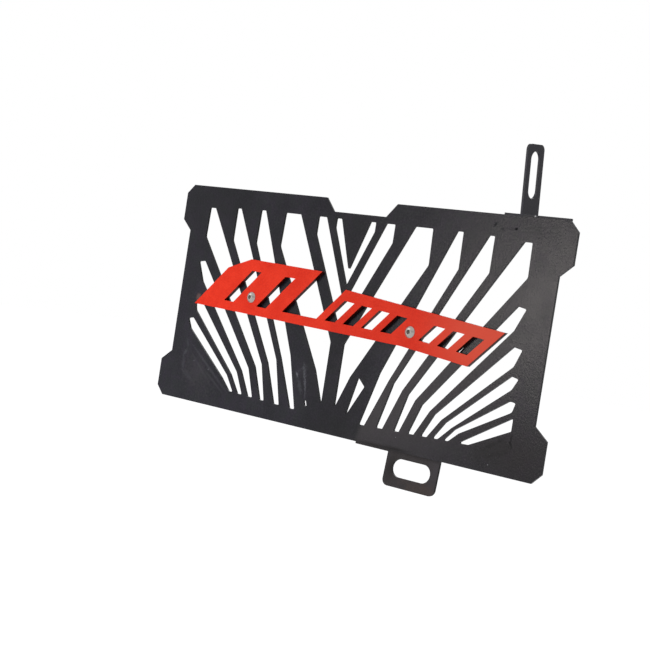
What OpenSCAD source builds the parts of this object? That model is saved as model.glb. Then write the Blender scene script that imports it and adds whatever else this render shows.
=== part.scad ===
// Slotted radiator guard for a small motorcycle.
// Origin: middle of the lower mounting slot, on the face that rests against the radiator's lug.
// +Z up, the front of the guard looks along -Y, and its width lies along X.

/* [Guard plate] */
// Width across the two upper corners
plate_w = 310; // [300:1:340]
// Height from the foot to the top edge
plate_h = 147; // [140:1:165]
// Thickness of the guard's sheet
sheet_t = 1.5; // [1:0.5:3]
// Height of the wide ends of each side, above and below the waist
lobe_h = 24.5; // [18:0.5:30]
// Height over which each side slopes into its waist
waist_slope = 7; // [3:0.5:12]
// How far the waist stands in from the upper corners
waist_in = 8; // [0:0.5:10]
// How much further than the upper corners each foot reaches out
foot_out = 1; // [0:0.5:5]
// Size of the cut across the two upper corners
top_cut = 6; // [0.5:0.5:15]
// Size of the cut across the two foot corners
foot_cut = 6; // [0.5:0.5:15]
// Width of the top notch at the top edge
notch_w = 57; // [46:1:80]
// Width of the top notch at its floor
notch_floor_w = 42; // [10:1:45]
// Depth of the top notch
notch_d = 8.5; // [0:0.5:10]

/* [Fan of slots] */
// How far the fan's axis stands to the left of the plate's middle
fan_left = 2; // [0:0.5:3]
// Solid border between the top edge and the fan
top_border = 12.5; // [12:0.5:20]
// Width of the upright spine at the foot of the fan
spine_w = 10.5; // [6:0.5:12]
// Drop from the top of the fan to the shoulders of its rays
shoulder_drop = 22; // [14:0.5:30]
// Height of the foot line where it crosses the fan's axis
foot_start = 9.5; // [6:0.5:10.5]
// Rise of the foot line for each millimetre away from the axis
foot_rise = 0.035; // [0:0.005:0.045]
// Height of the knee line where it crosses the fan's axis
knee_start = 58.5; // [56:0.5:62]
// Fall of the knee line for each millimetre away from the axis
knee_fall = 0.4; // [0.38:0.01:0.42]
// Radius that the cutter leaves in the slots' tips and feet
slot_corner = 0.8; // [0.5:0.1:1.2]
// Radius of the slots' shoulders and knees
slot_bend = 3; // [2:0.5:4]

/* [Badge] */
// Thickness of the badge
badge_t = 3; // [2:0.5:5]
// Place of the badge's lower left corner, sideways from the plate's middle
badge_x = -129; // [-130:0.5:-128]
// Height of the badge's lower left corner above the plate's foot
badge_z = 66.4; // [66:0.1:67]
// Turn of the badge, clockwise seen from the front
badge_turn = 1.3; // [0:0.1:2]
// Lean of the badge's ends and slots away from upright
badge_lean = 43; // [41:0.5:45]
// Width of the badge's slots along its foot
badge_slot_w = 8.5; // [6:0.5:9]
// Height of the rail along the badge's foot, and of the bar that joins its two panels
bar_h = 6; // [4:0.5:7]
// Length of the bar between the two panels
bar_l = 29.5; // [26:0.5:30]
// Length of the left panel, from its foot to its upper right corner
panel_l = 108; // [106:0.5:110]
// Height of the left panel
panel_h = 36; // [32:0.5:38]
// Distance from the left end to where the left panel's top edge starts
panel_crown = 46; // [36:0.5:50]
// Height up to which the left panel's left edge runs along the lean
panel_shoulder = 28; // [25:0.5:30]
// Height of the rail across the top of the left panel
panel_rail = 7.5; // [5:0.5:10]
// Length of the right panel along its foot
right_l = 127; // [122:0.5:130]
// Height of the right panel at its left end
right_h = 27.3; // [25:0.1:28]
// Fall of the right panel's top edge for each millimetre to the right
right_fall = 0.066; // [0.05:0.002:0.08]
// Height of the rail across the top of the right panel
rail_h = 6.5; // [5:0.5:8]
// Length of the level part of the right panel's foot
level_l = 74; // [70:1:78]
// Fall of the rest of that foot for each millimetre to the right
foot_fall = 0.075; // [0.05:0.005:0.09]

/* [Badge screws] */
// Place of the left screw, sideways from the plate's middle
left_screw_x = -77.5; // [-79:0.5:-76]
// Height of the left screw above the plate's foot
left_screw_z = 76.5; // [75:0.5:78]
// Place of the right screw, sideways from the plate's middle
right_screw_x = 54.5; // [53:0.5:56]
// Height of the right screw above the plate's foot
right_screw_z = 71.5; // [70:0.5:73]
// Height of the bridge that carries a screw across a slot
bridge_h = 12; // [10:0.5:16]
// Thread diameter of the screws
screw_d = 4; // [3:0.5:4]
// Length of a screw under its head
screw_l = 10; // [10:0.5:14]
// Diameter of a screw's domed head
head_d = 7.2; // [6.5:0.1:8]
// Height of a screw's domed head
head_h = 2.2; // [1.8:0.1:2.6]
// Width across the flats of the hexagon socket
socket_af = 2.5; // [2:0.5:3]
// Depth of the hexagon socket
socket_d = 1.3; // [0.8:0.1:1.5]
// Clearance of the screw holes in the badge and the plate, on the diameter
hole_play = 0.5; // [0.2:0.1:1]
// Width across the flats of a nut
nut_af = 7; // [7:0.5:8]
// Height of a nut
nut_h = 3.2; // [2.2:0.1:3.5]

/* [Upper bracket] */
// Distance from the plate's right side to the strip's outer end
strip_inset = 6.5; // [6:0.5:9]
// Length of the strip behind the top edge
strip_l = 44; // [36:1:52]
// Height of the strip
strip_h = 13; // [8:0.5:13]
// How far the strip shows above the top edge
strip_show = 1.2; // [0:0.1:1.2]
// Distance from the plate's right side to the upright tab's outer face
tab_inset = 39; // [33:0.5:43]
// Width of the upright tab, from front to back
tab_w = 17; // [14:0.5:22]
// Length of the upright tab above the strip
tab_l = 41; // [36:0.5:55]
// How far the upright tab reaches forward over the strip
tab_reach = 0.8; // [0:0.1:1.2]
// Forward lean of the upright tab
tab_lean = 6.5; // [0:0.5:8]
// Radius of the upright tab's corners
tab_corner = 3.5; // [1:0.5:6]
// Length of the upright tab's slot
tab_slot_l = 27; // [16:0.5:30]
// Width of the upright tab's slot
tab_slot_w = 9.5; // [6:0.5:10]
// Rim between the upright tab's slot and its end
tab_rim = 4; // [3:0.5:6]

/* [Lower bracket] */
// Distance from the plate's right side to the outer end of the flange and of the lug
flange_inset = 67.5; // [60:0.5:73]
// Length of the flange behind the foot of the plate
flange_l = 64; // [50:1:80]
// Height of the flange above the plate's foot
flange_h = 8.5; // [6:0.5:8.5]
// How far the flange shows below the plate's foot
flange_show = 1.4; // [0:0.1:3]
// Width of the lug
lug_w = 38.5; // [36:0.5:45]
// Length of the lug below the flange
lug_l = 20; // [18:0.5:30]
// Distance below the flange at which the lug bends forward
bend_drop = 0.5; // [0.3:0.1:1.5]
// Forward lean of the lug
lug_lean = 5; // [0:0.5:10]
// Radius of the lug's corners
lug_corner = 4; // [1:0.5:6]
// Length of the lug's slot
lug_slot_l = 28; // [16:0.5:30]
// Width of the lug's slot
lug_slot_w = 11; // [6:0.5:12]
// Distance from the flange's lower edge to the middle of the lug's slot
lug_slot_drop = 8.4; // [6.5:0.1:12]

/* [Welds] */
// Leg of the weld beads on the back
weld_leg = 1.5; // [1:0.1:2.5]
// Length of one weld bead
weld_l = 10; // [6:0.5:12]

/* [Output] */
// Node to draw, or all of them

/* [Hidden] */
$fn = 64;
cut = 1;
upper_x = plate_w / 2;
foot_x = upper_x + foot_out;
waist_x = upper_x - waist_in;
fan_top = plate_h - top_border;
shoulder_z = fan_top - shoulder_drop;
strip_end = upper_x - strip_inset;
tab_x = upper_x - tab_inset;
flange_end = upper_x - flange_inset;
strip_top = plate_h + strip_show;
back_y = sheet_t * 2;
lug_mid_x = flange_end - lug_w / 2;
bend_z = -flange_show - bend_drop;
slot_mid_y = back_y - (lug_slot_drop - bend_drop) * sin(lug_lean);
slot_mid_z = bend_z - (lug_slot_drop - bend_drop) * cos(lug_lean);
lean_run = tan(badge_lean);
panel_foot = panel_l - panel_h * lean_run;
right_start = panel_foot + bar_l;
right_end = right_start + right_l;
fall_start = right_start + level_l;
hole_d = screw_d + hole_play;
nut_chamfer = 0.5;
tip_chamfer = 0.5;

// Right half of the plate's outline, from its foot up to the floor of the notch
half_outline = [
    [foot_x - foot_cut, 0],
    [foot_x, foot_cut],
    [foot_x, lobe_h],
    [waist_x, lobe_h + waist_slope],
    [waist_x, plate_h - lobe_h - waist_slope],
    [upper_x, plate_h - lobe_h],
    [upper_x, plate_h - top_cut],
    [upper_x - top_cut, plate_h],
    [notch_w / 2, plate_h],
    [notch_floor_w / 2, plate_h - notch_d]
];

// Rays from the top of the fan: how much lower than the fan's top each one starts, then as
// distances from the axis its top inside, top outside, shoulder, knee inside, knee outside,
// foot inside and foot outside
top_rays = [
    [0, 77, 81.5, 82, 36.5, 44.5, 26.5, 31],
    [0.5, 99.5, 103.5, 103.5, 48, 55.5, 40, 45],
    [2, 123.5, 129, 129.5, 60, 66, 53.5, 57.5]
];

// Rays from the sides of the fan: distance from the axis and height of the inner corner, the
// outer corner and the shoulder, then knee inside, knee outside, foot inside and foot outside
side_rays = [
    [126, 96, 132, 95, 126, 82, 71, 77.5, 64, 68.5],
    [127.5, 73, 133.5, 72, 129.5, 62, 81, 86.5, 73.5, 78],
    [129, 56.5, 134, 55.5, 130.5, 49, 89.5, 94.5, 82, 86],
    [130.5, 42.5, 134.5, 42, 133, 36.5, 96.5, 100, 90, 93.5]
];
// On the left the second one starts lower, behind the badge, and the fourth is missing
left_second_ray = [121.5, 67, 129, 66.5, 128, 62, 81, 86.5, 73.5, 78];
left_side_rays = [side_rays[0], left_second_ray, side_rays[2]];

// Each V: half width and height of its tip, height of its bend, outside and inside of its arms
// at the fan's top as distances from the axis, and height of its crotch
small_vee = [0.4, 94, 128.5, 16, 11.5, 103];
large_vee = [2.2, 68.5, 123, 31, 24, 82];

// Broad window beside the spine, from the bend at its foot round to the crown on the spine
window_bend = [14.5, 38];
window_foot_z = 16;
window_crown_z = 57;
window_top = [46, 59.5];
window_shoulder_x = 60.3;

// Lowest wedge on the right: place of its upright end, its upper and lower corner there, and
// the outside and inside of its tip on the foot line
wedge_x = 134.5;
wedge_z = [33.5, 26];
wedge_tip = [107.5, 100.5];
// Small slots that only one side has
right_triangle = [[20.8, 39], [26.7, 33.7], [14.4, 12]];
left_sliver = [[16.6, 14.3], [18.5, 14], [19.8, 17.2], [18, 18]];

// The badge's slots are evenly spaced, and each screw stands in the place of one of them. A slot's
// place is counted from the left screw, and the right screw is the ninth.
left_slots = [-1, 1];
right_slots = [5, 6, 7, 8, 10, 11, 12];
right_screw_slot = 9;

function mirrored(points) = [for (i = [len(points) - 1:-1:0]) [-points[i][0], points[i][1]]];
function foot_z(x) = foot_start + foot_rise * x;
function knee_z(x) = knee_start - knee_fall * x;
function on_foot(x) = [x, foot_z(x)];
function on_knee(x) = [x, knee_z(x)];

// Three chords round each sharp corner, two round each blunt one, none where it is almost straight
function arc(a, b, c, reach, n) = [
    for (i = [0:n])
        let (t = i / n)
        (1 - t) * (1 - t) * (b + (a - b) * reach / norm(a - b))
            + 2 * t * (1 - t) * b
            + t * t * (b + (c - b) * reach / norm(c - b))
];
function corner_turn(a, b, c) = acos(-((a - b) * (c - b)) / (norm(a - b) * norm(c - b)));
function corner(a, b, c, turn) =
    turn < 12 ? [b]
    : turn < 50 ? arc(a, b, c, min(slot_bend * tan(turn / 2), norm(a - b) / 3, norm(c - b) / 3), 2)
    : arc(a, b, c, min(slot_corner * tan(turn / 2), norm(a - b) * 0.4, norm(c - b) * 0.4), 3);
function softened(points) = [
    for (i = [0:len(points) - 1])
        let (
            a = points[(i + len(points) - 1) % len(points)],
            b = points[i],
            c = points[(i + 1) % len(points)]
        )
        each corner(a, b, c, corner_turn(a, b, c))
];

// Draws a flat shape upright, with its front face at y
module upright(y, t) {
    translate([0, y + t, 0])
        rotate([90, 0, 0])
            linear_extrude(t)
                children();
}

// Puts what is drawn in the plate's frame into the row's frame
module placed() {
    translate([-lug_mid_x, -slot_mid_y, -slot_mid_z])
        children();
}

// Straight slot with round ends, centred, l long and w wide
module stadium(l, w) {
    square([l - w, w], center = true);
    for (side = [-1, 1])
        translate([side * (l - w) / 2, 0])
            circle(d = w);
}

// Tab that stands on y = 0, with its two upper corners rounded
module round_tab(w, l, r) {
    translate([-w / 2, 0])
        square([w, l - r]);
    translate([r - w / 2, 0])
        square([w - 2 * r, l]);
    for (side = [-1, 1])
        translate([side * (w / 2 - r), l - r])
            circle(r = r);
}

module top_ray(r) {
    polygon(softened([
        [r[1], fan_top - r[0]], [r[2], fan_top - r[0]], [r[3], shoulder_z],
        on_knee(r[5]), on_foot(r[7]), on_foot(r[6]), on_knee(r[4])
    ]));
}

module side_ray(r) {
    polygon(softened([
        [r[0], r[1]], [r[2], r[3]], [r[4], r[5]],
        on_knee(r[7]), on_foot(r[9]), on_foot(r[8]), on_knee(r[6])
    ]));
}

module vee(v) {
    right_arm = [[v[0], v[1]], [v[3], v[2]], [v[3], fan_top], [v[4], fan_top]];
    polygon(softened(concat(right_arm, [[0, v[5]]], mirrored(right_arm))));
}

module window() {
    polygon(softened([
        [window_top[0], fan_top], [window_top[1], fan_top], [window_shoulder_x, shoulder_z],
        window_bend, [spine_w / 2, window_foot_z], [spine_w / 2, window_crown_z]
    ]));
}

module half_fan(rays) {
    window();
    for (r = top_rays)
        top_ray(r);
    for (r = rays)
        side_ray(r);
}

module bridge(x, z) {
    translate([x, z])
        square([bridge_h * 2, bridge_h], center = true);
}

module fan_slots() {
    translate([-fan_left, 0]) {
        vee(small_vee);
        vee(large_vee);
        half_fan(side_rays);
        polygon(softened([
            [wedge_x, wedge_z[0]], [wedge_x, wedge_z[1]],
            on_foot(wedge_tip[0]), on_foot(wedge_tip[1])
        ]));
        polygon(softened(right_triangle));
        mirror([1, 0]) {
            half_fan(left_side_rays);
            polygon(softened(left_sliver));
        }
    }
}

// Each bridge closes one ray and stays inside the two bars beside it
module screw_bridges() {
    intersection() {
        bridge(right_screw_x, right_screw_z);
        translate([-fan_left, 0])
            top_ray(top_rays[0]);
    }
    intersection() {
        bridge(left_screw_x, left_screw_z);
        translate([-fan_left, 0])
            mirror([1, 0])
                top_ray(top_rays[1]);
    }
}

module screw_holes() {
    translate([left_screw_x, left_screw_z])
        circle(d = hole_d);
    translate([right_screw_x, right_screw_z])
        circle(d = hole_d);
}

module guard_plate() {
    color([0.13, 0.13, 0.14])
        placed()
            upright(0, sheet_t)
                difference() {
                    polygon(concat(half_outline, mirrored(half_outline)));
                    difference() {
                        fan_slots();
                        screw_bridges();
                    }
                    screw_holes();
                }
}

// Triangular bead along X, with its corner on the origin and its legs along +Y and +Z
module bead(l) {
    translate([-l / 2, 0, 0])
        rotate([90, 0, 90])
            linear_extrude(l)
                polygon([[0, 0], [weld_leg, 0], [0, weld_leg]]);
}

// Outline of the upright tab seen from its side: front to back, then up
module tab_side() {
    foot_mid = back_y - tab_reach + tab_w / 2;
    difference() {
        union() {
            translate([foot_mid, strip_top])
                rotate(tab_lean)
                    round_tab(tab_w, tab_l, tab_corner);
            translate([back_y, strip_top - strip_h])
                square([tab_w - tab_reach, strip_h + cut]);
        }
        translate([foot_mid, strip_top])
            rotate(tab_lean)
                translate([0, tab_l - tab_rim - tab_slot_l / 2])
                    rotate(90)
                        stadium(tab_slot_l, tab_slot_w);
    }
}

module upper_bracket() {
    color([0.13, 0.13, 0.14])
        placed() {
            upright(sheet_t, sheet_t)
                translate([strip_end - strip_l, strip_top - strip_h])
                    square([strip_l, strip_h]);
            translate([tab_x - sheet_t, 0, 0])
                rotate([90, 0, 90])
                    linear_extrude(sheet_t)
                        tab_side();
            for (end = [0, 1])
                translate([strip_end - weld_l / 2 - end * (strip_l - weld_l), sheet_t, strip_top - strip_h])
                    mirror([0, 0, 1])
                        bead(weld_l);
            for (side = [0, 1])
                translate([tab_x - side * sheet_t, back_y, strip_top - strip_h / 2])
                    mirror([side, 0, 0])
                        rotate([0, -90, 0])
                            bead(weld_l);
        }
}

// Side of the folded sheet, front to back and up: straight behind the plate, then leaning forward
module fold_side() {
    reach = lug_l + cut;
    end_y = back_y - reach * sin(lug_lean);
    end_z = bend_z - reach * cos(lug_lean);
    polygon([
        [back_y, flange_h + cut],
        [sheet_t, flange_h + cut],
        [sheet_t, bend_z + sheet_t * tan(lug_lean / 2)],
        [end_y - sheet_t * cos(lug_lean), end_z + sheet_t * sin(lug_lean)],
        [end_y, end_z],
        [back_y, bend_z]
    ]);
}

// Front view of the lower bracket's blank
module bracket_blank() {
    translate([flange_end - flange_l, -flange_show])
        square([flange_l, flange_h + flange_show]);
    translate([lug_mid_x, cut - flange_show])
        rotate(180)
            round_tab(lug_w, lug_l + cut, lug_corner);
}

module lower_bracket() {
    color([0.13, 0.13, 0.14])
        placed() {
            difference() {
                intersection() {
                    translate([flange_end - flange_l - cut, 0, 0])
                        rotate([90, 0, 90])
                            linear_extrude(flange_l + 2 * cut)
                                fold_side();
                    upright(-lug_l, lug_l + back_y + cut)
                        bracket_blank();
                }
                translate([lug_mid_x, slot_mid_y, slot_mid_z])
                    rotate([90 - lug_lean, 0, 0])
                        linear_extrude(4 * sheet_t, center = true)
                            stadium(lug_slot_l, lug_slot_w);
            }
            for (end = [0, 0.5, 1])
                translate([flange_end - weld_l / 2 - end * (flange_l - weld_l), sheet_t, flange_h])
                    bead(weld_l);
        }
}

// In the badge's own frame u runs along its foot and v up. raised goes up by h along the lean, and
// crossing is where the lean from u on the foot meets the line through p that falls with u.
function raised(p, h) = [p[0] + h * lean_run, p[1] + h];
function crossing(u, p, fall) = raised([u, 0], (p[1] - fall * (u - p[0])) / (1 + fall * lean_run));

// Place on the badge's foot from which the lean runs to a point of the plate
function web_at(x, z) =
    (x - badge_x) * cos(badge_turn) - (z - badge_z) * sin(badge_turn)
    - lean_run * ((x - badge_x) * sin(badge_turn) + (z - badge_z) * cos(badge_turn));
left_web = web_at(left_screw_x, left_screw_z);
slot_pitch = (web_at(right_screw_x, right_screw_z) - left_web) / right_screw_slot;
function slot_start(n) = left_web + n * slot_pitch - badge_slot_w / 2;

module left_panel() {
    slot_top = panel_h - panel_rail;
    difference() {
        polygon([
            [0, 0],
            [panel_foot, 0],
            [panel_l, panel_h],
            [panel_crown, panel_h],
            raised([0, 0], panel_shoulder)
        ]);
        for (n = left_slots)
            translate([slot_start(n), 0])
                polygon([
                    raised([0, 0], bar_h),
                    raised([badge_slot_w, 0], bar_h),
                    raised([badge_slot_w, 0], slot_top),
                    raised([0, 0], slot_top)
                ]);
    }
}

module right_panel() {
    top = raised([right_start, 0], right_h);
    rail = raised(top, -rail_h);
    foot = [fall_start, 0];
    sill = raised(foot, bar_h);
    difference() {
        polygon([
            [right_start, 0],
            foot,
            crossing(right_end, foot, foot_fall),
            crossing(right_end, top, right_fall),
            top
        ]);
        for (n = right_slots) {
            u = slot_start(n);
            w = u + badge_slot_w;
            polygon([
                u < fall_start ? raised([u, 0], bar_h) : crossing(u, sill, foot_fall),
                w < fall_start ? raised([w, 0], bar_h) : crossing(w, sill, foot_fall),
                crossing(w, rail, right_fall),
                crossing(u, rail, right_fall)
            ]);
        }
    }
}

module badge_outline() {
    left_panel();
    polygon([
        [panel_foot - cut, 0],
        [right_start + cut, 0],
        raised([right_start + cut, 0], bar_h),
        raised([panel_foot - cut, 0], bar_h)
    ]);
    right_panel();
}

module badge_plate() {
    color([0.8, 0.15, 0.1])
        placed()
            upright(-badge_t, badge_t)
                difference() {
                    translate([badge_x, badge_z])
                        rotate(-badge_turn)
                            badge_outline();
                    screw_holes();
                }
}

// Domed screw that looks along -Y, with its head's seat on y = 0
module badge_screw(x, z) {
    dome_r = (head_d * head_d / 4 + head_h * head_h) / (2 * head_h);
    color([0.7, 0.7, 0.7])
        placed()
            translate([x, -badge_t, z])
                rotate([90, 0, 0]) {
                    difference() {
                        intersection() {
                            cylinder(h = head_h, d = head_d);
                            translate([0, 0, head_h - dome_r])
                                sphere(r = dome_r);
                        }
                        translate([0, 0, head_h - socket_d])
                            cylinder(h = socket_d + cut, d = socket_af / cos(30), $fn = 6);
                    }
                    translate([0, 0, tip_chamfer - screw_l])
                        cylinder(h = screw_l - tip_chamfer, d = screw_d);
                    translate([0, 0, -screw_l])
                        cylinder(h = tip_chamfer, d1 = screw_d - 2 * tip_chamfer, d2 = screw_d);
                }
}

// Hexagon nut against the back of the plate, its outer face turned down to the flats
module hex_nut(x, z) {
    corner_r = nut_af / 2 / cos(30);
    color([0.6, 0.6, 0.6])
        placed()
            translate([x, sheet_t, z])
                rotate([-90, 0, 0])
                    difference() {
                        intersection() {
                            cylinder(h = nut_h, r = corner_r, $fn = 6);
                            union() {
                                cylinder(h = nut_h - nut_chamfer, r = corner_r + cut);
                                translate([0, 0, nut_h - nut_chamfer])
                                    cylinder(h = nut_chamfer, r1 = corner_r + 0.1, r2 = nut_af / 2 - 0.1);
                            }
                        }
                        translate([0, 0, -cut])
                            cylinder(h = nut_h + 2 * cut, d = screw_d + 0.1);
                    }
}

module screw_left() {
    badge_screw(left_screw_x, left_screw_z);
}

module screw_right() {
    badge_screw(right_screw_x, right_screw_z);
}

module nut_left() {
    hex_nut(left_screw_x, left_screw_z);
}

module nut_right() {
    hex_nut(right_screw_x, right_screw_z);
}

guard_plate();
upper_bracket();
lower_bracket();
badge_plate();
screw_left();
screw_right();
nut_left();
nut_right();
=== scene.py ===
import math
import bpy
import bmesh
from mathutils import Matrix, Vector


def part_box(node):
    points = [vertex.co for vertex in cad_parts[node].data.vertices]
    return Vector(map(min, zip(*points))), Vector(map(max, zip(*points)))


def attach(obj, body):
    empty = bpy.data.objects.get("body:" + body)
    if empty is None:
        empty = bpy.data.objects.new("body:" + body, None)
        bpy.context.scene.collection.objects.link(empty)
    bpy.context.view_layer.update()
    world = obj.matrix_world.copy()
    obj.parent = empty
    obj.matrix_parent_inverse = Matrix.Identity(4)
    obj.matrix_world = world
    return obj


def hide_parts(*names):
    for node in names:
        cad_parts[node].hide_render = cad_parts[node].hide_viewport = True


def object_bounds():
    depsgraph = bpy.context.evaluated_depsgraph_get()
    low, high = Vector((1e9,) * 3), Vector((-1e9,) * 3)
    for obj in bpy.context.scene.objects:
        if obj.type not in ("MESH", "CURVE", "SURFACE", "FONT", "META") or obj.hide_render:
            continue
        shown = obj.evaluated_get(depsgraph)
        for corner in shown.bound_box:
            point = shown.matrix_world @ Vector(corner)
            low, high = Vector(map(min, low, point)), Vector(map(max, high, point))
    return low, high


# Slotted radiator guard: black powder-coated sheet, red badge plate, steel button-head screws

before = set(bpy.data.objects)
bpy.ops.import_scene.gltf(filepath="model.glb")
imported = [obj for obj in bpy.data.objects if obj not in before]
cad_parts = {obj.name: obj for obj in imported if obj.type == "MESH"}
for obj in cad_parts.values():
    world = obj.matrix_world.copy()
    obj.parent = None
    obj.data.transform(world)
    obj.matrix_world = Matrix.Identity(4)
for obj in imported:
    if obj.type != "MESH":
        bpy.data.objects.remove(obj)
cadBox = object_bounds()
mm = 0.001                      # in the frame's metres

plateLow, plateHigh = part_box("guard_plate")
plateMiddle = (plateLow.x + plateHigh.x) / 2


def onPlate(x, y, z):
    # millimetres from the plate's middle, its front face and its foot, to the frame's metres
    return Vector((plateMiddle + x * mm, plateLow.y + y * mm, plateLow.z + z * mm))


def rgb(hexColour):
    # sRGB hex to the linear colour that a shader wants
    values = [int(hexColour[i:i + 2], 16) / 255 for i in (1, 3, 5)]
    linear = [v / 12.92 if v <= 0.04045 else ((v + 0.055) / 1.055) ** 2.4 for v in values]
    return (*linear, 1.0)


def addNode(tree, kind, inputs=None, **settings):
    node = tree.nodes.new(kind)
    for name, value in settings.items():
        setattr(node, name, value)
    for name, value in (inputs or {}).items():
        if isinstance(value, bpy.types.NodeSocket):
            tree.links.new(value, node.inputs[name])
        else:
            node.inputs[name].default_value = value
    return node


def newMaterial(name):
    material = bpy.data.materials.new(name)
    material.use_nodes = True
    material.node_tree.nodes.clear()
    return material, material.node_tree


def coverNode(nodeName, material):
    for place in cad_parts[nodeName].material_slots:
        place.material = material


# camera

camera = {
    "place": (531.06, -651.65, 86.05),     # mm from the plate's middle, front face and foot
    "aim": (-13.85, 0.0, 66.88),
    "roll": 8.889,                         # degrees, the guard hangs askew in the picture
    "lens": 74.77,                         # mm
    "sensor": 36,                          # mm
    "near": 0.01,                          # m
    "far": 50,
}

cameraData = bpy.data.cameras.new("camera")
cameraData.lens = camera["lens"]
cameraData.sensor_width = camera["sensor"]
cameraData.clip_start = camera["near"]
cameraData.clip_end = camera["far"]
cameraObject = bpy.data.objects.new("camera", cameraData)
bpy.context.scene.collection.objects.link(cameraObject)
look = onPlate(*camera["aim"]) - onPlate(*camera["place"])
turn = look.to_track_quat("-Z", "Y").to_matrix().to_4x4()
roll = Matrix.Rotation(math.radians(camera["roll"]), 4, "Z")
cameraObject.matrix_world = Matrix.Translation(onPlate(*camera["place"])) @ turn @ roll
bpy.context.scene.camera = cameraObject
print("camera placed")


# masks that the finishes share

noiseSpan = (0.3, 0.7)          # between them lies nearly all that Blender's noise gives
patchSpread = 0.8               # how far noise moves a mark's edge, as a share of its size
throughSheet = 1000.0           # m, a mark's mask has no end across the sheet
frontSpan = (-0.5, 0.0)         # a face's normal along Y, from the front faces to the cut edges
wallSpan = (0.6, 0.8)           # the same without its sign, from the cut edges to the flat faces
rimSpan = (0.8, 0.98)           # cosine between the rounded and the true normal, from rim to flat face
rimSamples = 6


def patchNoise(tree, position, size):
    # noise that breaks up a mark's edge, size is the width of its lobes in mm
    noise = addNode(tree, "ShaderNodeTexNoise", {"Vector": position, "Scale": 1 / (size * mm), "Detail": 3.0})
    spread = addNode(tree, "ShaderNodeMapRange", {
        "Value": noise.outputs[0], "From Min": noiseSpan[0], "From Max": noiseSpan[1],
        "To Min": -patchSpread, "To Max": patchSpread})
    return spread.outputs[0]


def spotMask(tree, position, place, size, turn=0.0, edge=0.5, noise=None):
    # 1 inside an oval at the given place, fading out over its edge, turned by degrees from level
    local = addNode(tree, "ShaderNodeMapping", {
        "Vector": position, "Location": onPlate(place[0], 0, place[1]), "Rotation": (0, -math.radians(turn), 0),
        "Scale": (size[0] * mm, throughSheet, size[1] * mm)}, vector_type="TEXTURE")
    length = addNode(tree, "ShaderNodeVectorMath", {0: local.outputs[0]}, operation="LENGTH")
    reach = length.outputs["Value"]
    if noise is not None:
        reach = addNode(tree, "ShaderNodeMath", {0: reach, 1: noise}, operation="ADD").outputs[0]
    fade = addNode(tree, "ShaderNodeMapRange", {
        "Value": reach, "From Min": 1 - edge, "From Max": 1 + edge, "To Min": 1.0, "To Max": 0.0})
    return fade.outputs[0]


def wallShadeMask(tree, axes):
    # where painted shade goes: 1 on the cut edges, 0 on the faces that look forward or back
    facing = addNode(tree, "ShaderNodeMath", {0: axes.outputs["Y"]}, operation="ABSOLUTE")
    wallShade = addNode(tree, "ShaderNodeMapRange", {
        "Value": facing.outputs[0], "From Min": wallSpan[0], "From Max": wallSpan[1],
        "To Min": 1.0, "To Max": 0.0})
    return wallShade.outputs[0]


# powder coat on sheet steel

plateCoat = {
    "dark": "#17161c",          # charcoal black, a little blue
    "violet": "#29252e",        # the film's lighter patches lean to violet or to olive
    "olive": "#26272a",
    "toneSpan": (0.95, 1.65),   # noise values that give the dark and the lighter tones
    "tint": 5.0,                # mm, patches of violet and olive
    "tintSpan": (0.4, 0.6),
    "wallShade": "#0d0b0b",          # painted shade on the laser-cut edges, nearly black
    "rim": "#343a44",           # painted highlight on the rounded edge of the coat
    "rimRadius": 0.3,           # mm
    "rimHighlightStrength": 0.5,
    "roughness": 0.23,
    "specular": 0.18,
    "peel": 1.6,                # mm, orange peel of baked powder
    "peelStrength": 0.3,
    "peelHeight": 0.05,         # mm
    "grain": 1.2,               # mm, powder grain, real grains are 0.1 mm and would not show
    "grainStrength": 0.6,
    "grainHeight": 0.09,        # mm
    "grainTone": 1.6,           # how much more the grain tells in the tone than the mottle
    "grainRoughness": 0.08,
    "mottle": 18.0,             # mm, uneven film thickness
    "mottleRoughness": (-0.07, -0.01),
}

# the brackets are greyer and duller than the plate, and the lower one is brownish; each has its own painted shade on
# the cut edges and painted highlight on the rims
tabCoat = dict(plateCoat, dark="#2f2f34", violet="#3e3d44", olive="#3b3c3e", wallShade="#1a1823",
               rim="#4b4c58", roughness=0.36)
lugCoat = dict(plateCoat, dark="#302d2d", violet="#3b3637", olive="#393534", wallShade="#151211",
               rim="#3f3a38", roughness=0.42, specular=0.12)


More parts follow.
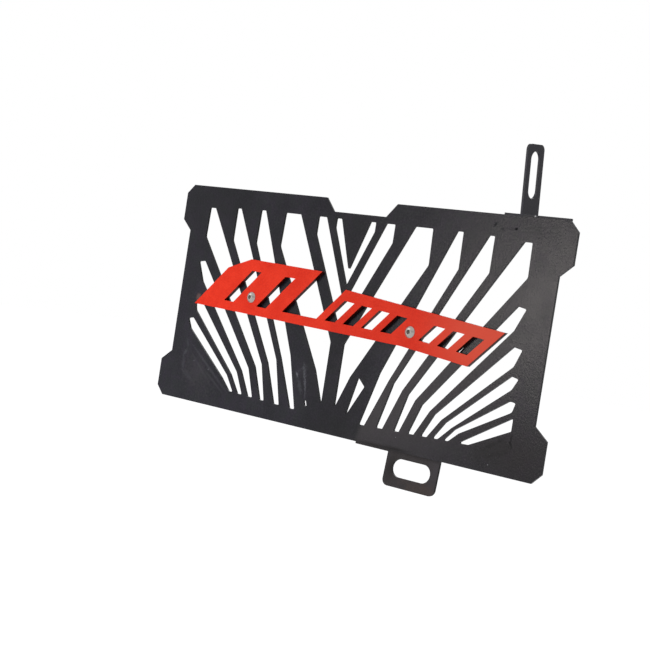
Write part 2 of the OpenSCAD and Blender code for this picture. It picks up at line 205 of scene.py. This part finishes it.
def makePowderCoat(name, coat, marks=()):
    # baked polyester powder on steel: satin, faint orange peel, painted shade on the cut edges and a painted
    # highlight on their rounded rims
    material, tree = newMaterial(name)
    position = addNode(tree, "ShaderNodeTexCoord").outputs["Object"]
    normal = addNode(tree, "ShaderNodeNewGeometry").outputs["True Normal"]
    axes = addNode(tree, "ShaderNodeSeparateXYZ", {0: normal})
    mottle = addNode(tree, "ShaderNodeTexNoise", {
        "Vector": position, "Scale": 1 / (coat["mottle"] * mm), "Detail": 3.0, "Roughness": 0.6})
    grain = addNode(tree, "ShaderNodeTexNoise", {
        "Vector": position, "Scale": 1 / (coat["grain"] * mm), "Detail": 2.0, "Roughness": 0.7})
    peel = addNode(tree, "ShaderNodeTexNoise", {
        "Vector": position, "Scale": 1 / (coat["peel"] * mm), "Detail": 1.0, "Roughness": 0.5})
    tint = addNode(tree, "ShaderNodeTexNoise", {
        "Vector": position, "Scale": 1 / (coat["tint"] * mm), "Detail": 1.0})

    blend = addNode(tree, "ShaderNodeMath", {
        0: grain.outputs[0], 1: coat["grainTone"], 2: mottle.outputs[0]}, operation="MULTIPLY_ADD")
    tone = addNode(tree, "ShaderNodeMapRange", {
        "Value": blend.outputs[0], "From Min": coat["toneSpan"][0], "From Max": coat["toneSpan"][1]})
    lean = addNode(tree, "ShaderNodeMapRange", {
        "Value": tint.outputs[0], "From Min": coat["tintSpan"][0], "From Max": coat["tintSpan"][1]})
    light = addNode(tree, "ShaderNodeMix", {
        0: lean.outputs[0], 6: rgb(coat["violet"]), 7: rgb(coat["olive"])}, data_type="RGBA")
    colour = addNode(tree, "ShaderNodeMix", {
        0: tone.outputs[0], 6: rgb(coat["dark"]), 7: light.outputs[2]}, data_type="RGBA")

    film = addNode(tree, "ShaderNodeMapRange", {
        "Value": mottle.outputs[0], "From Min": noiseSpan[0], "From Max": noiseSpan[1],
        "To Min": coat["roughness"] + coat["mottleRoughness"][0],
        "To Max": coat["roughness"] + coat["mottleRoughness"][1]})
    rough = addNode(tree, "ShaderNodeMath", {
        0: grain.outputs[0], 1: coat["grainRoughness"], 2: film.outputs[0]}, operation="MULTIPLY_ADD")

    # the marks are on the front only
    front = addNode(tree, "ShaderNodeMapRange", {
        "Value": axes.outputs["Y"], "From Min": frontSpan[0], "From Max": frontSpan[1],
        "To Min": 1.0, "To Max": 0.0})
    for mark in marks:
        noise = patchNoise(tree, position, mark["noise"]) if "noise" in mark else None
        spot = spotMask(tree, position, mark["place"], mark["size"], mark.get("turn", 0.0),
                        mark.get("edge", 0.5), noise)
        limit = front
        if "within" in mark:
            inside = spotMask(tree, position, *mark["within"], edge=mark["withinEdge"])
            limit = addNode(tree, "ShaderNodeMath", {0: inside, 1: front.outputs[0]}, operation="MULTIPLY")
        mask = addNode(tree, "ShaderNodeMath", {0: spot, 1: limit.outputs[0]}, operation="MULTIPLY")
        strength = addNode(tree, "ShaderNodeMath", {
            0: mask.outputs[0], 1: mark["strength"]}, operation="MULTIPLY")
        colour = addNode(tree, "ShaderNodeMix", {
            0: strength.outputs[0], 6: colour.outputs[2], 7: rgb(mark["colour"])}, data_type="RGBA")
        if "matt" in mark:
            rough = addNode(tree, "ShaderNodeMath", {
                0: mask.outputs[0], 1: mark["matt"], 2: rough.outputs[0]}, operation="MULTIPLY_ADD")

    # painted shade: the cut edges darkened
    colour = addNode(tree, "ShaderNodeMix", {
        0: wallShadeMask(tree, axes), 6: colour.outputs[2], 7: rgb(coat["wallShade"])}, data_type="RGBA")
    rounded = addNode(tree, "ShaderNodeBevel", {"Radius": coat["rimRadius"] * mm}, samples=rimSamples)
    # painted highlight on the rounded rims, where the rounded normal leaves the true one
    cosine = addNode(tree, "ShaderNodeVectorMath", {0: rounded.outputs[0], 1: normal}, operation="DOT_PRODUCT")
    rim = addNode(tree, "ShaderNodeMapRange", {
        "Value": cosine.outputs["Value"], "From Min": rimSpan[0], "From Max": rimSpan[1],
        "To Min": coat["rimHighlightStrength"], "To Max": 0.0})
    colour = addNode(tree, "ShaderNodeMix", {
        0: rim.outputs[0], 6: colour.outputs[2], 7: rgb(coat["rim"])}, data_type="RGBA")

    grainBump = addNode(tree, "ShaderNodeBump", {
        "Height": grain.outputs[0], "Strength": coat["grainStrength"], "Distance": coat["grainHeight"] * mm,
        "Normal": rounded.outputs[0]})
    peelBump = addNode(tree, "ShaderNodeBump", {
        "Height": peel.outputs[0], "Strength": coat["peelStrength"], "Distance": coat["peelHeight"] * mm,
        "Normal": grainBump.outputs[0]})
    shader = addNode(tree, "ShaderNodeBsdfPrincipled", {
        "Base Color": colour.outputs[2], "Roughness": rough.outputs[0], "Specular IOR Level": coat["specular"],
        "Normal": peelBump.outputs[0]})
    addNode(tree, "ShaderNodeOutputMaterial", {"Surface": shader.outputs[0]})
    return material


# marks in the coat: place and half size in mm, turn in degrees, noise in mm, matt adds to the roughness
plateMarks = [
    # painted shade on the foot, and a painted sheen that starts sharply beside it and covers the lower right bars
    {"place": (14.0, 4.0), "size": (18.0, 12.0), "colour": "#131213", "strength": 0.4, "edge": 0.7},
    {"place": (46.0, 34.0), "size": (56.0, 42.0), "turn": 30, "colour": "#4b4646", "strength": 0.55, "edge": 0.7,
     "within": ((309.7, -60.2), (292.0, 292.0)), "withinEdge": 0.006},
    # pits, a scratch, and painted shade below the tab with a duller film, in the upper right corner
    {"place": (100.6, 140.7), "size": (1.2, 0.6), "turn": -112, "colour": "#08080a", "strength": 0.7, "matt": 0.4},
    {"place": (105.9, 138.5), "size": (1.1, 0.7), "turn": -33, "colour": "#101012", "strength": 0.4, "matt": 0.2},
    {"place": (111.6, 138.9), "size": (3.4, 0.3), "turn": 4, "colour": "#0c0c0e", "strength": 0.35, "matt": 0.12},
    {"place": (115.1, 139.3), "size": (0.9, 0.7), "turn": 14, "colour": "#040404", "strength": 1.0, "matt": 0.6},
    {"place": (128.0, 139.5), "size": (8.0, 4.0), "turn": -25, "colour": "#17161c", "strength": 0.2, "edge": 0.9,
     "noise": 3.0, "matt": 0.03},
    # painted shade, darker on the spine and in the upper left corner
    {"place": (-2.0, 72.0), "size": (20.0, 80.0), "colour": "#131213", "strength": 0.4, "edge": 0.7},
    {"place": (-122.0, 134.0), "size": (30.0, 20.0), "colour": "#141416", "strength": 0.4, "edge": 0.7},
    # dust specks along the foot
    {"place": (54.1, 8.0), "size": (0.28, 0.28), "colour": "#9a9a9c", "strength": 0.4},
    {"place": (120.7, 4.8), "size": (0.4, 0.28), "colour": "#b4b4b8", "strength": 0.55},
    {"place": (120.8, 10.6), "size": (0.3, 0.3), "colour": "#7d7d80", "strength": 0.3},
    {"place": (119.0, 13.8), "size": (0.3, 0.3), "colour": "#6d6d70", "strength": 0.3},
    # dried stain and a hairline in the lower right corner
    {"place": (138.0, 12.0), "size": (24.0, 16.0), "colour": "#1a1416", "strength": 0.6, "edge": 0.8, "matt": 0.08},
    {"place": (124.2, 14.4), "size": (11.0, 4.4), "turn": 24, "colour": "#141412", "strength": 0.4,
     "noise": 4.0, "matt": 0.06},
    {"place": (121.5, 16.4), "size": (8.5, 0.8), "turn": 34, "colour": "#0a0a09", "strength": 0.5,
     "noise": 1.5, "matt": 0.1},
    {"place": (125.0, 11.2), "size": (6.0, 0.7), "turn": 20, "colour": "#0a0a09", "strength": 0.4,
     "noise": 1.5, "matt": 0.1},
    {"place": (133.3, 22.0), "size": (3.0, 0.5), "turn": -99, "colour": "#060607", "strength": 0.7,
     "noise": 1.5, "matt": 0.2},
    {"place": (133.8, 18.2), "size": (1.8, 0.5), "turn": -63, "colour": "#060607", "strength": 0.7,
     "noise": 1.5, "matt": 0.2},
    # painted shadow: a dark band along the foot where the lug starts, its film duller
    {"place": (38.2, 0.2), "size": (15.0, 1.4), "colour": "#120e0f", "strength": 0.85, "edge": 0.6, "matt": 0.2},
    {"place": (56.0, 1.0), "size": (9.0, 1.1), "colour": "#0e0b0c", "strength": 0.9, "edge": 0.7, "matt": 0.2},
    # rub marks and specks in the lower left corner
    {"place": (-109.5, 25.3), "size": (19.0, 0.8), "turn": -35, "colour": "#4c4c50", "strength": 0.3, "noise": 1.2},
    {"place": (-117.5, 24.0), "size": (12.0, 0.8), "turn": -40, "colour": "#4a4a4d", "strength": 0.2, "noise": 1.2},
    {"place": (-103.0, 16.5), "size": (9.0, 0.7), "turn": -33, "colour": "#4a4a4d", "strength": 0.25, "noise": 1.2},
    {"place": (-133.6, 32.1), "size": (2.4, 1.1), "turn": -126, "colour": "#4e4f54", "strength": 0.35, "noise": 1.2},
    {"place": (-134.0, 24.6), "size": (5.2, 1.1), "turn": -84, "colour": "#4a4b50", "strength": 0.25, "noise": 1.2},
    {"place": (-128.5, 17.0), "size": (5.5, 1.6), "turn": -32, "colour": "#4a4a4e", "strength": 0.22, "noise": 1.2},
    {"place": (-132.6, 38.5), "size": (2.9, 0.9), "turn": -66, "colour": "#4a4b50", "strength": 0.25, "noise": 1.2},
    {"place": (-120.0, 19.0), "size": (12.0, 8.0), "turn": -36, "colour": "#413e3f", "strength": 0.3, "edge": 0.8,
     "noise": 2.0},
    {"place": (-109.5, 23.7), "size": (0.5, 0.4), "colour": "#77787d", "strength": 0.35},
    {"place": (-124.2, 27.5), "size": (0.5, 0.4), "colour": "#77787d", "strength": 0.3},
    # painted reflection of the red badge, a reddish beige spot beside its left end
    {"place": (-128.8, 70.8), "size": (2.2, 2.4), "colour": "#6b524c", "strength": 0.65, "edge": 0.4},
    # scuffs on the stem left of the middle
    {"place": (-30.4, 32.7), "size": (1.3, 0.8), "turn": -60, "colour": "#77777c", "strength": 0.5, "noise": 1.5},
    {"place": (-27.3, 37.0), "size": (3.0, 0.9), "turn": 37, "colour": "#4c4c51", "strength": 0.35, "noise": 1.5},
    {"place": (-24.6, 35.3), "size": (4.0, 1.0), "turn": -74, "colour": "#5c5c61", "strength": 0.4, "noise": 1.2},
    {"place": (-22.9, 28.3), "size": (4.5, 0.7), "turn": -74, "colour": "#67676c", "strength": 0.45, "noise": 1.2},
    {"place": (-21.4, 21.4), "size": (3.3, 0.5), "turn": -80, "colour": "#4c4c51", "strength": 0.35, "noise": 1.5},
    {"place": (-27.2, 26.1), "size": (3.6, 1.3), "turn": -60, "colour": "#4f4f54", "strength": 0.35, "noise": 1.5},
]

tabMarks = [                    # a white speck at the foot of the tab
    {"place": (125.1, 147.6), "size": (0.5, 0.5), "colour": "#e0e0e0", "strength": 1.0},
]

lugMarks = [                    # painted shade beside the slot's left end, brown below the slot, greyer at its right
    {"place": (53.5, -10.5), "size": (3.0, 6.0), "turn": -10, "colour": "#140f0e", "strength": 0.7, "edge": 0.8},
    {"place": (78.0, -19.0), "size": (11.0, 3.5), "colour": "#4b3f3a", "strength": 0.5, "edge": 0.8, "noise": 3.0},
    {"place": (85.5, -7.0), "size": (4.0, 8.0), "colour": "#454145", "strength": 0.6, "edge": 0.8},
]

coverNode("guard_plate", makePowderCoat("satin_black_powder_coat", plateCoat, plateMarks))
coverNode("upper_bracket", makePowderCoat("satin_black_powder_coat_tab", tabCoat, tabMarks))
coverNode("lower_bracket", makePowderCoat("satin_black_powder_coat_lug", lugCoat, lugMarks))
print("powder coat done")


# red enamel on the badge plate

redEnamel = {
    "dark": "#de301c",
    "light": "#f13d25",
    "toneSpan": (0.75, 1.25),
    "endSheen": "#ed563f",         # painted sheen on the right end, a paler red
    "endSheenPlace": (118.0, 78.0),
    "endSheenSize": (40.0, 34.0),
    "wallShade": "#4a1410",          # painted shade on the cut edge, dark red
    "roughness": 0.34,
    "specular": 0.07,
    "grain": 0.8,               # mm, spray grain, drawn coarser than real so that it shows
    "grainStrength": 0.2,
    "grainHeight": 0.03,        # mm
    "mottle": 14.0,             # mm, uneven coats
    "rimRadius": 0.25,          # mm
}


def makeRedEnamel(name, enamel):
    # sprayed enamel: even colour, soft gloss, edges rounded by the paint, a painted sheen on the right end and
    # painted shade on the cut edges
    material, tree = newMaterial(name)
    position = addNode(tree, "ShaderNodeTexCoord").outputs["Object"]
    normal = addNode(tree, "ShaderNodeNewGeometry").outputs["True Normal"]
    axes = addNode(tree, "ShaderNodeSeparateXYZ", {0: normal})
    mottle = addNode(tree, "ShaderNodeTexNoise", {
        "Vector": position, "Scale": 1 / (enamel["mottle"] * mm), "Detail": 3.0, "Roughness": 0.6})
    grain = addNode(tree, "ShaderNodeTexNoise", {
        "Vector": position, "Scale": 1 / (enamel["grain"] * mm), "Detail": 2.0, "Roughness": 0.7})
    blend = addNode(tree, "ShaderNodeMath", {0: mottle.outputs[0], 1: grain.outputs[0]}, operation="ADD")
    tone = addNode(tree, "ShaderNodeMapRange", {
        "Value": blend.outputs[0], "From Min": enamel["toneSpan"][0], "From Max": enamel["toneSpan"][1]})
    colour = addNode(tree, "ShaderNodeMix", {
        0: tone.outputs[0], 6: rgb(enamel["dark"]), 7: rgb(enamel["light"])}, data_type="RGBA")
    # painted sheen: the right end paler
    endSheen = spotMask(tree, position, enamel["endSheenPlace"], enamel["endSheenSize"])
    colour = addNode(tree, "ShaderNodeMix", {
        0: endSheen, 6: colour.outputs[2], 7: rgb(enamel["endSheen"])}, data_type="RGBA")
    # painted shade: the cut edges darkened
    colour = addNode(tree, "ShaderNodeMix", {
        0: wallShadeMask(tree, axes), 6: colour.outputs[2], 7: rgb(enamel["wallShade"])}, data_type="RGBA")
    rounded = addNode(tree, "ShaderNodeBevel", {"Radius": enamel["rimRadius"] * mm}, samples=rimSamples)
    bump = addNode(tree, "ShaderNodeBump", {
        "Height": grain.outputs[0], "Strength": enamel["grainStrength"], "Distance": enamel["grainHeight"] * mm,
        "Normal": rounded.outputs[0]})
    shader = addNode(tree, "ShaderNodeBsdfPrincipled", {
        "Base Color": colour.outputs[2], "Roughness": enamel["roughness"],
        "Specular IOR Level": enamel["specular"], "Normal": bump.outputs[0]})
    addNode(tree, "ShaderNodeOutputMaterial", {"Surface": shader.outputs[0]})
    return material


coverNode("badge_plate", makeRedEnamel("sprayed_red_enamel", redEnamel))
print("red enamel done")


# steel screws and nuts

steel = {
    "colour": "#aaa6a1",
    "stain": "#6f675f",
    "stainSize": 1.8,           # mm
    "stainSpan": (0.5, 0.7),    # noise values from clean to stained
    "stainStrength": 0.5,
    "grime": "#5c4a3e",         # brown dirt in the socket
    "grimeSpan": (0.1, 0.5),    # mm past the socket's flats, from full to none
    "grimeUneven": 0.6,         # mm
    "grimeStrength": 0.85,
    "roughness": 0.42,
    "turning": 0.25,            # mm, spacing of the turning marks on the head
    "turningStrength": 0.15,
    "turningHeight": 0.01,      # mm
}


def makeSteel(name, finish, grimeRadius=0.0):
    # bright turned steel: fine rings round the axis, faint stains, and grime where a radius is given
    material, tree = newMaterial(name)
    position = addNode(tree, "ShaderNodeTexCoord").outputs["Object"]
    flat = addNode(tree, "ShaderNodeVectorMath", {0: position, 1: (1, 0, 1)}, operation="MULTIPLY")
    radius = addNode(tree, "ShaderNodeVectorMath", {0: flat.outputs[0]}, operation="LENGTH").outputs["Value"]
    stain = addNode(tree, "ShaderNodeTexNoise", {
        "Vector": position, "Scale": 1 / (finish["stainSize"] * mm), "Detail": 3.0})
    patches = addNode(tree, "ShaderNodeMapRange", {
        "Value": stain.outputs[0], "From Min": finish["stainSpan"][0], "From Max": finish["stainSpan"][1],
        "To Min": 0.0, "To Max": finish["stainStrength"]})
    colour = addNode(tree, "ShaderNodeMix", {
        0: patches.outputs[0], 6: rgb(finish["colour"]), 7: rgb(finish["stain"])}, data_type="RGBA")
    metallic = 1.0
    if grimeRadius:
        uneven = addNode(tree, "ShaderNodeMath", {
            0: stain.outputs[0], 1: finish["grimeUneven"] * mm}, operation="MULTIPLY")
        reach = addNode(tree, "ShaderNodeMath", {0: radius, 1: uneven.outputs[0]}, operation="ADD")
        grime = addNode(tree, "ShaderNodeMapRange", {
            "Value": reach.outputs[0], "From Min": (grimeRadius + finish["grimeSpan"][0]) * mm,
            "From Max": (grimeRadius + finish["grimeSpan"][1]) * mm,
            "To Min": finish["grimeStrength"], "To Max": 0.0})
        colour = addNode(tree, "ShaderNodeMix", {
            0: grime.outputs[0], 6: colour.outputs[2], 7: rgb(finish["grime"])}, data_type="RGBA")
        metallic = addNode(tree, "ShaderNodeMath", {0: 1.0, 1: grime.outputs[0]}, operation="SUBTRACT").outputs[0]
    turns = addNode(tree, "ShaderNodeMath", {
        0: radius, 1: 2 * math.pi / (finish["turning"] * mm)}, operation="MULTIPLY")
    rings = addNode(tree, "ShaderNodeMath", {0: turns.outputs[0]}, operation="SINE")
    bump = addNode(tree, "ShaderNodeBump", {
        "Height": rings.outputs[0], "Strength": finish["turningStrength"], "Distance": finish["turningHeight"] * mm})
    shader = addNode(tree, "ShaderNodeBsdfPrincipled", {
        "Base Color": colour.outputs[2], "Metallic": metallic, "Roughness": finish["roughness"],
        "Normal": bump.outputs[0]})
    addNode(tree, "ShaderNodeOutputMaterial", {"Surface": shader.outputs[0]})
    return material


def addPiece(name, mesh, material):
    mesh.materials.append(material)
    for face in mesh.polygons:
        face.use_smooth = True
    piece = bpy.data.objects.new(name, mesh)
    bpy.context.scene.collection.objects.link(piece)
    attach(piece, "root")
    return piece


def buildRings(name, rings):
    # closed skin through rings of equal count
    mesh = bmesh.new()
    loops = [[mesh.verts.new(point) for point in ring] for ring in rings]
    count = len(rings[0])
    for lower, upper in zip(loops, loops[1:]):
        for i in range(count):
            j = (i + 1) % count
            mesh.faces.new((lower[i], lower[j], upper[j], upper[i]))
    mesh.faces.new(reversed(loops[0]))
    mesh.faces.new(loops[-1])
    bmesh.ops.recalc_face_normals(mesh, faces=mesh.faces)
    data = bpy.data.meshes.new(name)
    mesh.to_mesh(data)
    mesh.free()
    return data


screw = {                       # mm
    "shankRadius": 2.0,         # over the thread
    "socket": 2.5,              # across the flats
    "socketDepth": 1.3,
    "socketPoint": 0.25,        # depth of the drilled point in the socket's floor
    "pointShare": 0.12,         # width of its tip, as a share of the socket
    "filletIn": 0.06,           # round the socket's floor
    "filletUp": 0.08,
    "socketChamfer": 0.1,
    "collar": 0.25,             # from the socket's corners to the first ring of the dome
    "domeEdge": 0.12,           # from the last ring of the dome to the rim
    "domeRings": 8,
    "rim": 0.25,                # upright rim under the dome
    "rimShare": 0.6,            # its height that stays upright
    "pitch": 0.7,
    "threadDepth": 0.32,
    "threadStart": 0.3,         # plain neck under the head
    "tipChamfer": 0.5,
    "segments": 48,
    "ringsPerPitch": 8,
}

headMaterial = makeSteel("turned_bright_steel", steel, grimeRadius=screw["socket"] / 2)
nutMaterial = makeSteel("rolled_bright_steel", steel)


def makeScrew(name, node):
    # button head with a hexagon socket and a rolled thread, looking along -Y
    low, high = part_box(node)
    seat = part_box("badge_plate")[0].y
    headR = (high.x - low.x) / 2
    headH = seat - low.y
    domeR = (headR ** 2 + headH ** 2) / (2 * headH)
    shankR = screw["shankRadius"] * mm
    length = high.y - seat
    count = screw["segments"]
    angles = [2 * math.pi * i / count for i in range(count)]

    def circle(r, y):
        return [(r * math.cos(a), y, r * math.sin(a)) for a in angles]

    def hexagon(grow=0.0):
        # the socket's outline as x and z, grown by mm
        half = (screw["socket"] / 2 + grow) * mm
        radii = [half / math.cos((a + math.pi / 6) % (math.pi / 3) - math.pi / 6) for a in angles]
        return [(r * math.cos(a), r * math.sin(a)) for r, a in zip(radii, angles)]

    def domeY(r):
        return -(headH - domeR + math.sqrt(domeR ** 2 - r ** 2))

    share = screw["pointShare"]
    chamfer = screw["socketChamfer"]
    floorY = -(headH - screw["socketDepth"] * mm)
    rings = [
        [(share * x, floorY + screw["socketPoint"] * mm, share * z) for x, z in hexagon()],
        [(x, floorY, z) for x, z in hexagon(-screw["filletIn"])],
        [(x, floorY - screw["filletUp"] * mm, z) for x, z in hexagon()],
        [(x, domeY(math.hypot(x, z)) + chamfer * mm, z) for x, z in hexagon()],
        [(x, domeY(math.hypot(x, z)), z) for x, z in hexagon(chamfer)],
    ]
    first = screw["socket"] * mm / 2 / math.cos(math.pi / 6) + screw["collar"] * mm
    last = headR - screw["domeEdge"] * mm
    rimH = screw["rim"] * mm
    for k in range(screw["domeRings"] + 1):
        r = first + (last - first) * k / screw["domeRings"]
        rings.append(circle(r, min(domeY(r), -rimH)))
    depth = screw["threadDepth"] * mm
    rings.append(circle(headR, -rimH * screw["rimShare"]))
    rings.append(circle(headR, 0))
    rings.append(circle(shankR - depth / 2, 0))

    # the thread winds down the shank, fades in under the head and ends in a chamfered tip
    pitch = screw["pitch"] * mm
    step = pitch / screw["ringsPerPitch"]
    for k in range(1, int(length / step) + 1):
        y = k * step
        ring = []
        for a in angles:
            phase = (y / pitch - a / (2 * math.pi)) % 1.0
            wave = 1 - abs(2 * phase - 1)
            r = shankR - depth * (1 - wave)
            r = min(r, shankR - depth + max(0.0, y - screw["threadStart"] * mm))
            r = min(r, shankR - screw["tipChamfer"] * mm + (length - y))
            ring.append((r * math.cos(a), y, r * math.sin(a)))
        rings.append(ring)
    piece = addPiece(name, buildRings(name, rings), headMaterial)
    piece.location = ((low.x + high.x) / 2, seat, (low.z + high.z) / 2)
    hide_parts(node)


makeScrew("button_screw_left", "screw_left")
makeScrew("button_screw_right", "screw_right")
coverNode("nut_left", nutMaterial)
coverNode("nut_right", nutMaterial)
print("screws and nuts done")


# weld beads on the back

weld = {
    "leg": 1.9,                 # mm
    "ripple": 1.3,              # mm between ripples
    "rippleHeight": 0.18,       # mm
    "sag": 0.18,                # how much flatter its face is than a quarter circle
    "endPower": 10,             # how late the bead tapers towards its ends
    "leastLeg": 0.25,           # share of the leg that is left at the ends
    "sections": 48,
    "arc": 10,
}

# the weld's coat, with its own painted shade on the cut edges and painted highlight on the rims
weldMaterial = makePowderCoat("powder_coat_over_weld", dict(plateCoat, wallShade="#1c1b1d", roughness=0.4))


def makeBead(name, start, end, sideA, sideB):
    # rippled fillet from start to end, its legs along sideA and sideB
    a, b = onPlate(*start), onPlate(*end)
    sideA, sideB = Vector(sideA), Vector(sideB)
    length = (b - a).length
    rings = []
    for k in range(weld["sections"] + 1):
        t = k / weld["sections"]
        taper = math.sqrt(max(0.0, 1 - (2 * t - 1) ** weld["endPower"]))
        ripple = weld["rippleHeight"] * mm * abs(math.sin(math.pi * t * length / (weld["ripple"] * mm)))
        leg = (weld["leg"] * mm + ripple) * max(taper, weld["leastLeg"])
        base = a + (b - a) * t
        ring = [base]
        for i in range(weld["arc"] + 1):
            angle = math.pi / 2 * i / weld["arc"]
            bulge = 1 - weld["sag"] * math.sin(2 * angle)
            ring.append(base + (sideA * math.cos(angle) + sideB * math.sin(angle)) * leg * bulge)
        rings.append(ring)
    addPiece(name, buildRings(name, rings), weldMaterial)


# the brackets' seams, in mm as in the part's source: each has its bead's start, its run and the sides of its legs
out, up, down, right, left = (0, 1, 0), (0, 0, 1), (0, 0, -1), (1, 0, 0), (-1, 0, 0)
seams = {
    "weld_strip_outer": ((138.5, 1.5, 135.2), (10, 0, 0), out, down),
    "weld_strip_inner": ((104.5, 1.5, 135.2), (10, 0, 0), out, down),
    "weld_tab_outer": ((116.0, 3.0, 136.7), (0, 0, 10), right, out),
    "weld_tab_inner": ((114.5, 3.0, 136.7), (0, 0, 10), left, out),
    "weld_flange_outer": ((77.5, 1.5, 8.5), (10, 0, 0), out, up),
    "weld_flange_middle": ((50.5, 1.5, 8.5), (10, 0, 0), out, up),
    "weld_flange_inner": ((23.5, 1.5, 8.5), (10, 0, 0), out, up),
}

for name, (start, run, sideA, sideB) in seams.items():
    end = [s + r for s, r in zip(start, run)]
    makeBead(name, start, end, sideA, sideB)
print("weld beads done")


# studio: places in mm from the plate's middle, front face and foot

studio = {
    "floorDrop": 0.25,          # m below the lug
    "floorHalf": 6,             # m
    "floorBounce": "#e7e7e7",   # what the floor throws back on the guard
    "floorShade": "#9e9e9e",    # the darker it is, the less of a shadow shows on the floor
    "floorGlow": 0.9,
    "ambient": 0.36,
    "ambientColour": "#eceef4",
    "background": "#ffffff",
}

sun = {                         # even light that carries the floor's shadow
    "place": (-900, -850, 800), "aim": (0, 0, 0), "strength": 0.6, "spread": 25,
}

softLamps = {
    # the fill stands close, so that its light falls off along the guard, and the sheen is left to the next lamp
    "fill_softbox": {"place": (-230, -300, -20), "aim": (-130, 0, 60), "size": 0.2, "power": 0.64,
                     "colour": "#f2f4ff", "shape": "SQUARE", "glossy": False},
    "sheen_lamp": {"place": (-575, -1296, 132), "aim": (165, 0, 101), "size": 0.3, "power": 2.45,
                   "colour": "#fff7f2", "shape": "DISK", "glossy": True},
    "back_softbox": {"place": (-700, 1300, 800), "aim": (0, 0, 80), "size": 1.0, "power": 8.0,
                     "colour": "#ffffff", "shape": "SQUARE", "glossy": True},
}


def addLamp(name, data, place, aim):
    lamp = bpy.data.objects.new(name, data)
    bpy.context.scene.collection.objects.link(lamp)
    lamp.location = onPlate(*place)
    lamp.rotation_euler = (onPlate(*aim) - onPlate(*place)).to_track_quat("-Z", "Y").to_euler()
    return lamp


def seenRays(tree):
    # 1 for what the camera sees, by itself, in a reflection or through something clear
    path = addNode(tree, "ShaderNodeLightPath")
    seen = addNode(tree, "ShaderNodeMath", {
        0: path.outputs["Is Camera Ray"], 1: path.outputs["Is Glossy Ray"]}, operation="MAXIMUM")
    seen = addNode(tree, "ShaderNodeMath", {
        0: seen.outputs[0], 1: path.outputs["Is Transmission Ray"]}, operation="MAXIMUM")
    return seen.outputs[0]


sunData = bpy.data.lights.new("even_light", "SUN")
sunData.energy = sun["strength"]
sunData.angle = math.radians(sun["spread"])
addLamp("even_light", sunData, sun["place"], sun["aim"])

for name, values in softLamps.items():
    data = bpy.data.lights.new(name, "AREA")
    data.shape = values["shape"]
    data.size = values["size"]
    data.energy = values["power"]
    data.color = rgb(values["colour"])[:3]
    addLamp(name, data, values["place"], values["aim"]).visible_glossy = values["glossy"]

world = bpy.data.worlds.new("studio_white")
bpy.context.scene.world = world
world.use_nodes = True
tree = world.node_tree
tree.nodes.clear()
ambient = addNode(tree, "ShaderNodeBackground", {
    "Color": rgb(studio["ambientColour"]), "Strength": studio["ambient"]})
white = addNode(tree, "ShaderNodeBackground", {"Color": rgb(studio["background"]), "Strength": 1.0})
mixed = addNode(tree, "ShaderNodeMixShader", {0: seenRays(tree), 1: ambient.outputs[0], 2: white.outputs[0]})
addNode(tree, "ShaderNodeOutputWorld", {"Surface": mixed.outputs[0]})

floorMaterial, tree = newMaterial("matt_white_floor")
plain = addNode(tree, "ShaderNodeBsdfDiffuse", {"Color": rgb(studio["floorBounce"])})
faint = addNode(tree, "ShaderNodeBsdfDiffuse", {"Color": rgb(studio["floorShade"])})
glow = addNode(tree, "ShaderNodeEmission", {"Color": rgb(studio["background"]), "Strength": studio["floorGlow"]})
bright = addNode(tree, "ShaderNodeAddShader", {0: faint.outputs[0], 1: glow.outputs[0]})
mixed = addNode(tree, "ShaderNodeMixShader", {0: seenRays(tree), 1: plain.outputs[0], 2: bright.outputs[0]})
addNode(tree, "ShaderNodeOutputMaterial", {"Surface": mixed.outputs[0]})

floorMesh = bmesh.new()
bmesh.ops.create_grid(floorMesh, x_segments=4, y_segments=4, size=studio["floorHalf"])
floorData = bpy.data.meshes.new("studio_floor")
floorMesh.to_mesh(floorData)
floorMesh.free()
floorData.materials.append(floorMaterial)
floor = bpy.data.objects.new("studio_floor", floorData)
bpy.context.scene.collection.objects.link(floor)
floor.location = (0, 0, cadBox[0].z - studio["floorDrop"])
bpy.context.scene.view_settings.view_transform = "Standard"
print("studio done")
